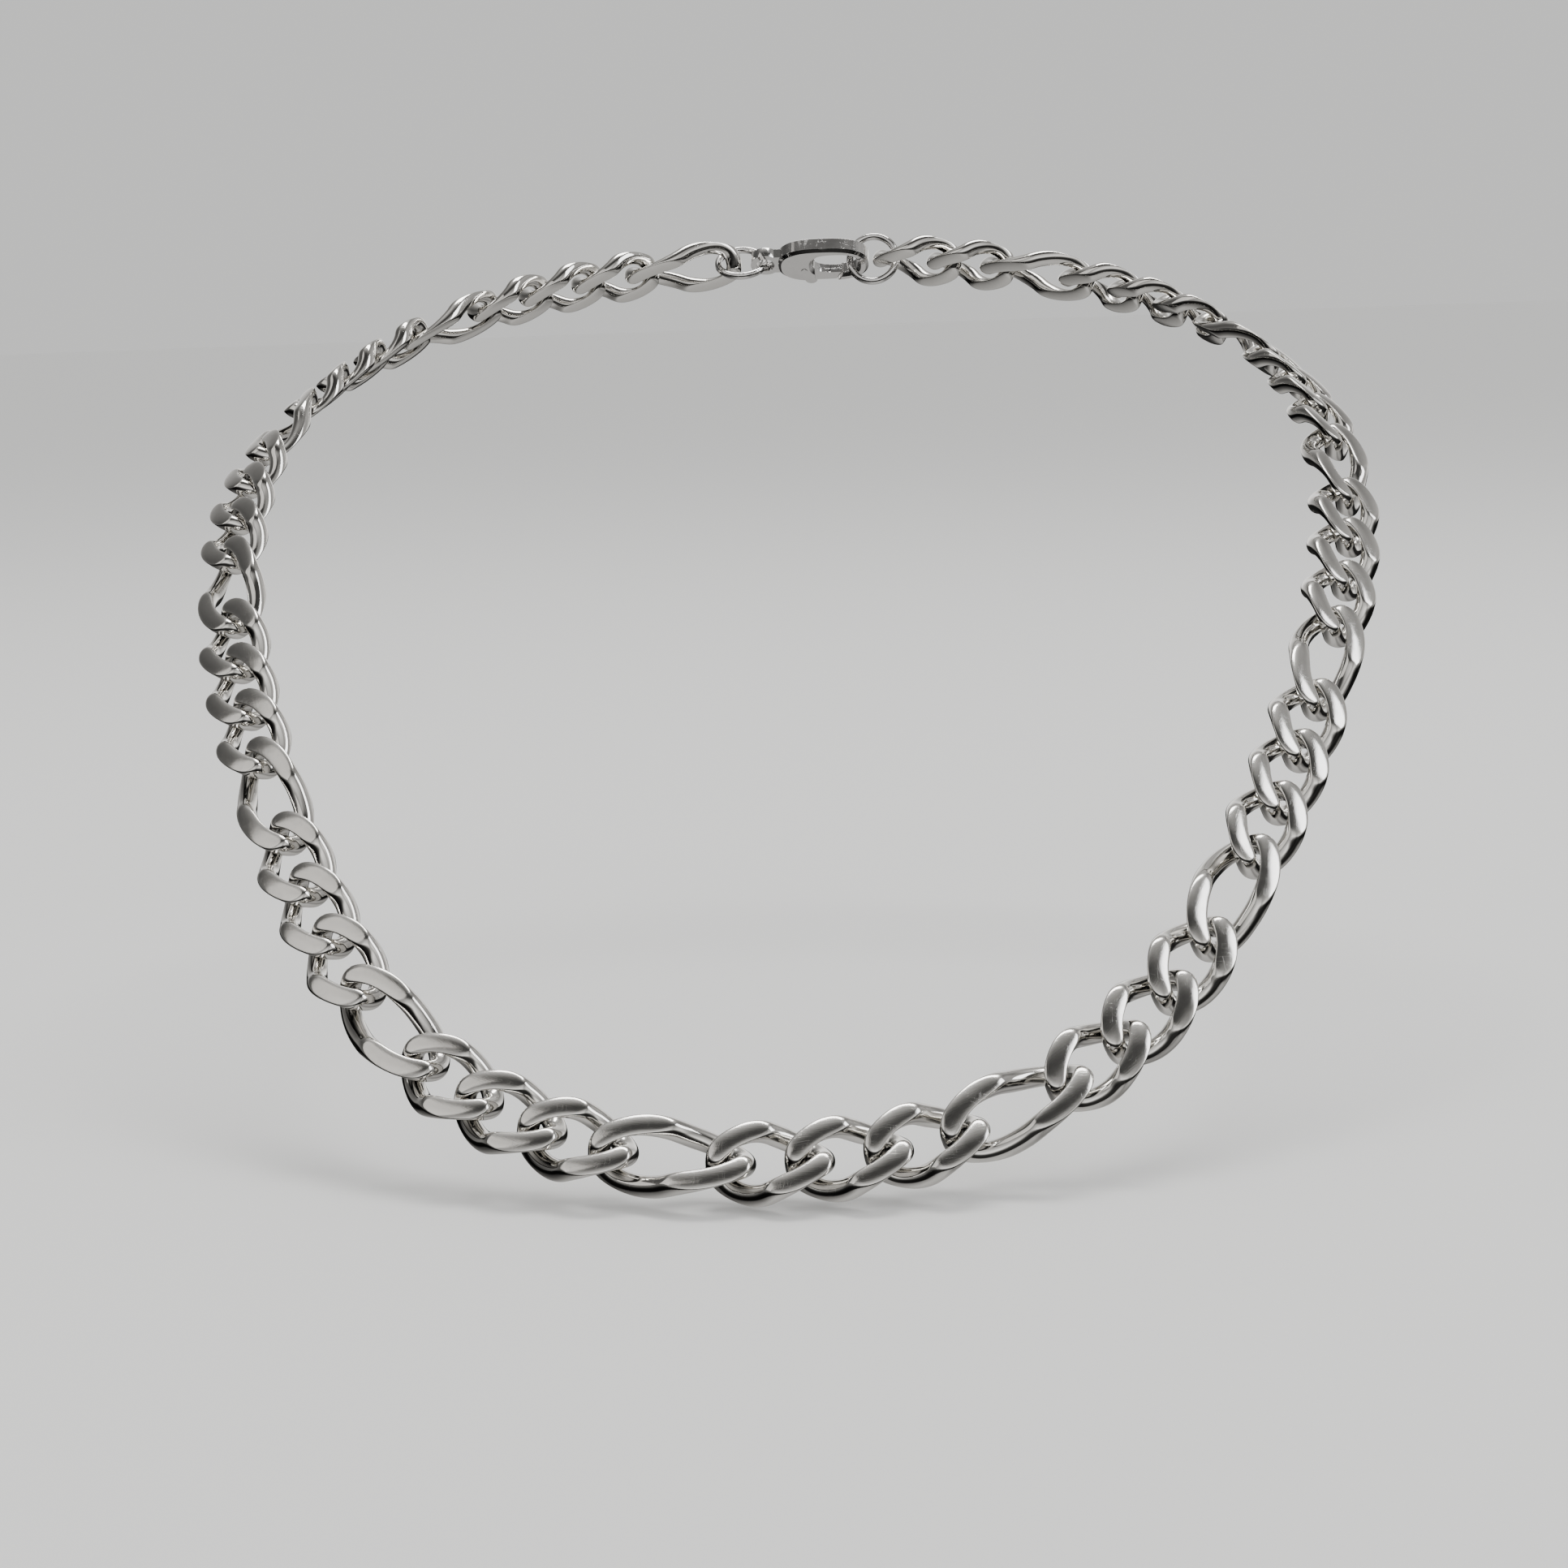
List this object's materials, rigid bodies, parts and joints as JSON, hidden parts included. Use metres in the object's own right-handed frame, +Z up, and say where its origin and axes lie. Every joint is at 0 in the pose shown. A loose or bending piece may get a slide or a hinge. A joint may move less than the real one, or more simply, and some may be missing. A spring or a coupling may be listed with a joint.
{
  "type": "chain necklace",
  "caption": "Figaro chain necklace of flattened steel curb links, short ones with a long one between them, draped as on a neck and closed by a lobster clasp",
  "frame": {"origin": "the middle of the chain's thickness at the nape, where the clasp is, on the plane that halves the drape", "axes": "+X to the right seen from the front, +Y towards the back of the neck, +Z up"},
  "size_m": [0.154, 0.1531, 0.1045],
  "materials": {
    "link_steel": "polished round wire, with fine-ground flat faces",
    "ring_steel": "polished drawn wire",
    "clasp_steel": "polished casting",
    "spring_steel": "bright spring wire"
  },
  "bodies": {
    "clasp": {"clasp_body": "clasp_steel", "clasp_pin": "clasp_steel", "clasp_spring": "spring_steel"},
    "lever": {"clasp_lever": "clasp_steel"},
    "tail_ring": {"tail_ring": "ring_steel"},
    "end_ring": {"end_ring": "ring_steel"},
    "link_01": {"link_01": "link_steel"},
    "link_02": {"link_02": "link_steel"},
    "link_03": {"link_03": "link_steel"},
    "link_04": {"link_04": "link_steel"},
    "link_05": {"link_05": "link_steel"},
    "link_06": {"link_06": "link_steel"},
    "link_07": {"link_07": "link_steel"},
    "link_08": {"link_08": "link_steel"},
    "link_09": {"link_09": "link_steel"},
    "link_10": {"link_10": "link_steel"},
    "link_11": {"link_11": "link_steel"},
    "link_12": {"link_12": "link_steel"},
    "link_13": {"link_13": "link_steel"},
    "link_14": {"link_14": "link_steel"},
    "link_15": {"link_15": "link_steel"},
    "link_16": {"link_16": "link_steel"},
    "link_17": {"link_17": "link_steel"},
    "link_18": {"link_18": "link_steel"},
    "link_19": {"link_19": "link_steel"},
    "link_20": {"link_20": "link_steel"},
    "link_21": {"link_21": "link_steel"},
    "link_22": {"link_22": "link_steel"},
    "link_23": {"link_23": "link_steel"},
    "link_24": {"link_24": "link_steel"},
    "link_25": {"link_25": "link_steel"},
    "link_26": {"link_26": "link_steel"},
    "link_27": {"link_27": "link_steel"},
    "link_28": {"link_28": "link_steel"},
    "link_29": {"link_29": "link_steel"},
    "link_30": {"link_30": "link_steel"},
    "link_31": {"link_31": "link_steel"},
    "link_32": {"link_32": "link_steel"},
    "link_33": {"link_33": "link_steel"},
    "link_34": {"link_34": "link_steel"},
    "link_35": {"link_35": "link_steel"},
    "link_36": {"link_36": "link_steel"},
    "link_37": {"link_37": "link_steel"},
    "link_38": {"link_38": "link_steel"},
    "link_39": {"link_39": "link_steel"},
    "link_40": {"link_40": "link_steel"},
    "link_41": {"link_41": "link_steel"},
    "link_42": {"link_42": "link_steel"},
    "link_43": {"link_43": "link_steel"},
    "link_44": {"link_44": "link_steel"},
    "link_45": {"link_45": "link_steel"},
    "link_46": {"link_46": "link_steel"},
    "link_47": {"link_47": "link_steel"},
    "link_48": {"link_48": "link_steel"},
    "link_49": {"link_49": "link_steel"},
    "link_50": {"link_50": "link_steel"},
    "link_51": {"link_51": "link_steel"}
  },
  "joints": [
    {"name": "tail_ring_turn", "type": "hinge", "parent": "clasp", "child": "tail_ring", "pos_m": [-0.0064, -0.00025, -0.00014], "axis": [1, 0, 0], "range_deg": [-14, 15]},
    {"name": "end_ring_turn", "type": "hinge", "parent": "clasp", "child": "end_ring", "pos_m": [0.00859, -0.00025, -0.00014], "axis": [1, 0, 0], "range_deg": [-14, 15]},
    {"name": "link_01_turn", "type": "hinge", "parent": "tail_ring", "child": "link_01", "pos_m": [-0.01167, -0.00071, -0.0004], "axis": [1, 0, 0], "range_deg": [-20, 22]},
    {"name": "link_51_turn", "type": "hinge", "parent": "end_ring", "child": "link_51", "pos_m": [0.01386, -0.00071, -0.0004], "axis": [1, 0, 0], "range_deg": [-20, 22]},
    {"name": "link_02_turn", "type": "hinge", "parent": "link_01", "child": "link_02", "pos_m": [-0.02425, -0.0024, -0.00132], "axis": [-1, 0, 0], "range_deg": [-19, 22]},
    {"name": "link_50_turn", "type": "hinge", "parent": "link_51", "child": "link_50", "pos_m": [0.02211, -0.0024, -0.00132], "axis": [-1, 0, 0], "range_deg": [-19, 22]},
    {"name": "link_03_turn", "type": "hinge", "parent": "link_02", "child": "link_03", "pos_m": [-0.03227, -0.0045, -0.00245], "axis": [-1, 0, 0], "range_deg": [-17, 22]},
    {"name": "link_49_turn", "type": "hinge", "parent": "link_50", "child": "link_49", "pos_m": [0.03019, -0.0045, -0.00245], "axis": [-1, 0, 0], "range_deg": [-17, 22]},
    {"name": "link_04_turn", "type": "hinge", "parent": "link_03", "child": "link_04", "pos_m": [-0.03996, -0.00827, -0.00441], "axis": [-1, 0, 0], "range_deg": [-19, 22]},
    {"name": "link_48_turn", "type": "hinge", "parent": "link_49", "child": "link_48", "pos_m": [0.0419, -0.00827, -0.00441], "axis": [-1, 0, 0], "range_deg": [-19, 22]},
    {"name": "link_05_turn", "type": "hinge", "parent": "link_04", "child": "link_05", "pos_m": [-0.04716, -0.01225, -0.0064], "axis": [-1, 0, 0], "range_deg": [-21, 22]},
    {"name": "link_47_turn", "type": "hinge", "parent": "link_48", "child": "link_47", "pos_m": [0.04893, -0.01225, -0.0064], "axis": [-1, 0, 0], "range_deg": [-21, 22]},
    {"name": "link_06_turn", "type": "hinge", "parent": "link_05", "child": "link_06", "pos_m": [-0.05664, -0.01864, -0.00946], "axis": [1, 0, 0], "range_deg": [-15, 12]},
    {"name": "link_46_turn", "type": "hinge", "parent": "link_47", "child": "link_46", "pos_m": [0.05516, -0.01864, -0.00946], "axis": [1, 0, 0], "range_deg": [-15, 12]},
    {"name": "link_07_turn", "type": "hinge", "parent": "link_06", "child": "link_07", "pos_m": [-0.06167, -0.02464, -0.01226], "axis": [1, 0, 0], "range_deg": [-14, 11]},
    {"name": "link_45_turn", "type": "hinge", "parent": "link_46", "child": "link_45", "pos_m": [0.06044, -0.02464, -0.01226], "axis": [1, 0, 0], "range_deg": [-14, 11]},
    {"name": "link_08_turn", "type": "hinge", "parent": "link_07", "child": "link_08", "pos_m": [-0.06573, -0.03306, -0.01611], "axis": [1, 0, 0], "range_deg": [-22, 22]},
    {"name": "link_44_turn", "type": "hinge", "parent": "link_45", "child": "link_44", "pos_m": [0.06664, -0.03306, -0.01611], "axis": [1, 0, 0], "range_deg": [-22, 22]},
    {"name": "link_09_turn", "type": "hinge", "parent": "link_08", "child": "link_09", "pos_m": [-0.06886, -0.04018, -0.0194], "axis": [1, 0, 0], "range_deg": [-22, 22]},
    {"name": "link_43_turn", "type": "hinge", "parent": "link_44", "child": "link_43", "pos_m": [0.06952, -0.04018, -0.0194], "axis": [1, 0, 0], "range_deg": [-22, 22]},
    {"name": "link_10_turn", "type": "hinge", "parent": "link_09", "child": "link_10", "pos_m": [-0.07184, -0.04944, -0.0239], "axis": [-1, 0, 0], "range_deg": [-12, 13]},
    {"name": "link_42_turn", "type": "hinge", "parent": "link_43", "child": "link_42", "pos_m": [0.07148, -0.04944, -0.0239], "axis": [-1, 0, 0], "range_deg": [-12, 13]},
    {"name": "link_11_turn", "type": "hinge", "parent": "link_10", "child": "link_11", "pos_m": [-0.07265, -0.05679, -0.02784], "axis": [-1, 0, 0], "range_deg": [-13, 14]},
    {"name": "link_41_turn", "type": "hinge", "parent": "link_42", "child": "link_41", "pos_m": [0.07252, -0.05679, -0.02784], "axis": [-1, 0, 0], "range_deg": [-13, 14]},
    {"name": "link_12_turn", "type": "hinge", "parent": "link_11", "child": "link_12", "pos_m": [-0.07262, -0.06588, -0.03327], "axis": [-1, 0, 0], "range_deg": [-22, 22]},
    {"name": "link_40_turn", "type": "hinge", "parent": "link_41", "child": "link_40", "pos_m": [0.0725, -0.06588, -0.03327], "axis": [-1, 0, 0], "range_deg": [-22, 22]},
    {"name": "link_13_turn", "type": "hinge", "parent": "link_12", "child": "link_13", "pos_m": [-0.07191, -0.07288, -0.03785], "axis": [-1, 0, 0], "range_deg": [-22, 22]},
    {"name": "link_39_turn", "type": "hinge", "parent": "link_40", "child": "link_39", "pos_m": [0.07162, -0.07288, -0.03785], "axis": [-1, 0, 0], "range_deg": [-22, 22]},
    {"name": "link_14_turn", "type": "hinge", "parent": "link_13", "child": "link_14", "pos_m": [-0.06975, -0.08142, -0.04386], "axis": [1, 0, 0], "range_deg": [-13, 15]},
    {"name": "link_38_turn", "type": "hinge", "parent": "link_39", "child": "link_38", "pos_m": [0.0702, -0.08142, -0.04386], "axis": [1, 0, 0], "range_deg": [-13, 15]},
    {"name": "link_15_turn", "type": "hinge", "parent": "link_14", "child": "link_15", "pos_m": [-0.06772, -0.08794, -0.04877], "axis": [1, 0, 0], "range_deg": [-14, 15]},
    {"name": "link_37_turn", "type": "hinge", "parent": "link_38", "child": "link_37", "pos_m": [0.06829, -0.08794, -0.04877], "axis": [1, 0, 0], "range_deg": [-14, 15]},
    {"name": "link_16_turn", "type": "hinge", "parent": "link_15", "child": "link_16", "pos_m": [-0.06528, -0.09587, -0.05509], "axis": [1, 0, 0], "range_deg": [-22, 22]},
    {"name": "link_36_turn", "type": "hinge", "parent": "link_37", "child": "link_36", "pos_m": [0.06458, -0.09587, -0.05509], "axis": [1, 0, 0], "range_deg": [-22, 22]},
    {"name": "link_17_turn", "type": "hinge", "parent": "link_16", "child": "link_17", "pos_m": [-0.06248, -0.10195, -0.06014], "axis": [1, 0, 0], "range_deg": [-22, 22]},
    {"name": "link_35_turn", "type": "hinge", "parent": "link_36", "child": "link_35", "pos_m": [0.06169, -0.10195, -0.06014], "axis": [1, 0, 0], "range_deg": [-22, 22]},
    {"name": "link_18_turn", "type": "hinge", "parent": "link_17", "child": "link_18", "pos_m": [-0.05765, -0.10941, -0.06653], "axis": [-1, 0, 0], "range_deg": [-15, 14]},
    {"name": "link_34_turn", "type": "hinge", "parent": "link_35", "child": "link_34", "pos_m": [0.05853, -0.10941, -0.06653], "axis": [-1, 0, 0], "range_deg": [-15, 14]},
    {"name": "link_19_turn", "type": "hinge", "parent": "link_18", "child": "link_19", "pos_m": [-0.05417, -0.11518, -0.07156], "axis": [-1, 0, 0], "range_deg": [-16, 13]},
    {"name": "link_33_turn", "type": "hinge", "parent": "link_34", "child": "link_33", "pos_m": [0.05511, -0.11518, -0.07156], "axis": [-1, 0, 0], "range_deg": [-16, 13]},
    {"name": "link_20_turn", "type": "hinge", "parent": "link_19", "child": "link_20", "pos_m": [-0.05033, -0.12227, -0.07776], "axis": [-1, 0, 0], "range_deg": [-20, 20]},
    {"name": "link_32_turn", "type": "hinge", "parent": "link_33", "child": "link_32", "pos_m": [0.04924, -0.12227, -0.07776], "axis": [-1, 0, 0], "range_deg": [-20, 20]},
    {"name": "link_21_turn", "type": "hinge", "parent": "link_20", "child": "link_21", "pos_m": [-0.04591, -0.1276, -0.08241], "axis": [-1, 0, 0], "range_deg": [-18, 20]},
    {"name": "link_31_turn", "type": "hinge", "parent": "link_32", "child": "link_31", "pos_m": [0.04462, -0.1276, -0.08241], "axis": [-1, 0, 0], "range_deg": [-18, 20]},
    {"name": "link_22_turn", "type": "hinge", "parent": "link_21", "child": "link_22", "pos_m": [-0.0376, -0.1337, -0.08766], "axis": [1, 0, 0], "range_deg": [-11, 19]},
    {"name": "link_30_turn", "type": "hinge", "parent": "link_31", "child": "link_30", "pos_m": [0.03918, -0.1337, -0.08766], "axis": [1, 0, 0], "range_deg": [-11, 19]},
    {"name": "link_23_turn", "type": "hinge", "parent": "link_22", "child": "link_23", "pos_m": [-0.03106, -0.13782, -0.09113], "axis": [1, 0, 0], "range_deg": [-13, 22]},
    {"name": "link_29_turn", "type": "hinge", "parent": "link_30", "child": "link_29", "pos_m": [0.03285, -0.13782, -0.09113], "axis": [1, 0, 0], "range_deg": [-13, 22]},
    {"name": "link_24_turn", "type": "hinge", "parent": "link_23", "child": "link_24", "pos_m": [-0.02371, -0.14175, -0.09437], "axis": [1, 0, 0], "range_deg": [-17, 17]},
    {"name": "link_28_turn", "type": "hinge", "parent": "link_29", "child": "link_28", "pos_m": [0.02167, -0.14175, -0.09437], "axis": [1, 0, 0], "range_deg": [-17, 17]},
    {"name": "link_25_turn", "type": "hinge", "parent": "link_24", "child": "link_25", "pos_m": [-0.01576, -0.14372, -0.09592], "axis": [1, 0, 0], "range_deg": [-21, 20]},
    {"name": "link_27_turn", "type": "hinge", "parent": "link_28", "child": "link_27", "pos_m": [0.01361, -0.14372, -0.09592], "axis": [1, 0, 0], "range_deg": [-21, 20]},
    {"name": "link_26_turn", "type": "hinge", "parent": "link_27", "child": "link_26", "pos_m": [0.0053, -0.14482, -0.09676], "axis": [1, 0, 0], "range_deg": [-20, 20]},
    {"name": "lever_open", "type": "hinge", "parent": "clasp", "child": "lever", "pos_m": [0.00063, 0.00054, -0.00074], "axis": [-0.0099, -0.61, -0.7924], "range_deg": [0, 18], "stiffness_Nm_per_rad": 0.02, "springref_deg": -17.19, "deforming": ["clasp_spring"]}
  ],
  "couplings": [
    {"joint": "end_ring_turn", "follows": "tail_ring_turn", "ratio": 1},
    {"joint": "link_51_turn", "follows": "link_01_turn", "ratio": 1},
    {"joint": "link_50_turn", "follows": "link_02_turn", "ratio": 1},
    {"joint": "link_49_turn", "follows": "link_03_turn", "ratio": 1},
    {"joint": "link_48_turn", "follows": "link_04_turn", "ratio": 1},
    {"joint": "link_47_turn", "follows": "link_05_turn", "ratio": 1},
    {"joint": "link_46_turn", "follows": "link_06_turn", "ratio": 1},
    {"joint": "link_45_turn", "follows": "link_07_turn", "ratio": 1},
    {"joint": "link_44_turn", "follows": "link_08_turn", "ratio": 1},
    {"joint": "link_43_turn", "follows": "link_09_turn", "ratio": 1},
    {"joint": "link_42_turn", "follows": "link_10_turn", "ratio": 1},
    {"joint": "link_41_turn", "follows": "link_11_turn", "ratio": 1},
    {"joint": "link_40_turn", "follows": "link_12_turn", "ratio": 1},
    {"joint": "link_39_turn", "follows": "link_13_turn", "ratio": 1},
    {"joint": "link_38_turn", "follows": "link_14_turn", "ratio": 1},
    {"joint": "link_37_turn", "follows": "link_15_turn", "ratio": 1},
    {"joint": "link_36_turn", "follows": "link_16_turn", "ratio": 1},
    {"joint": "link_35_turn", "follows": "link_17_turn", "ratio": 1},
    {"joint": "link_34_turn", "follows": "link_18_turn", "ratio": 1},
    {"joint": "link_33_turn", "follows": "link_19_turn", "ratio": 1},
    {"joint": "link_32_turn", "follows": "link_20_turn", "ratio": 1},
    {"joint": "link_31_turn", "follows": "link_21_turn", "ratio": 1},
    {"joint": "link_30_turn", "follows": "link_22_turn", "ratio": 1},
    {"joint": "link_29_turn", "follows": "link_23_turn", "ratio": 1},
    {"joint": "link_28_turn", "follows": "link_24_turn", "ratio": 1},
    {"joint": "link_27_turn", "follows": "link_25_turn", "ratio": 1}
  ]
}
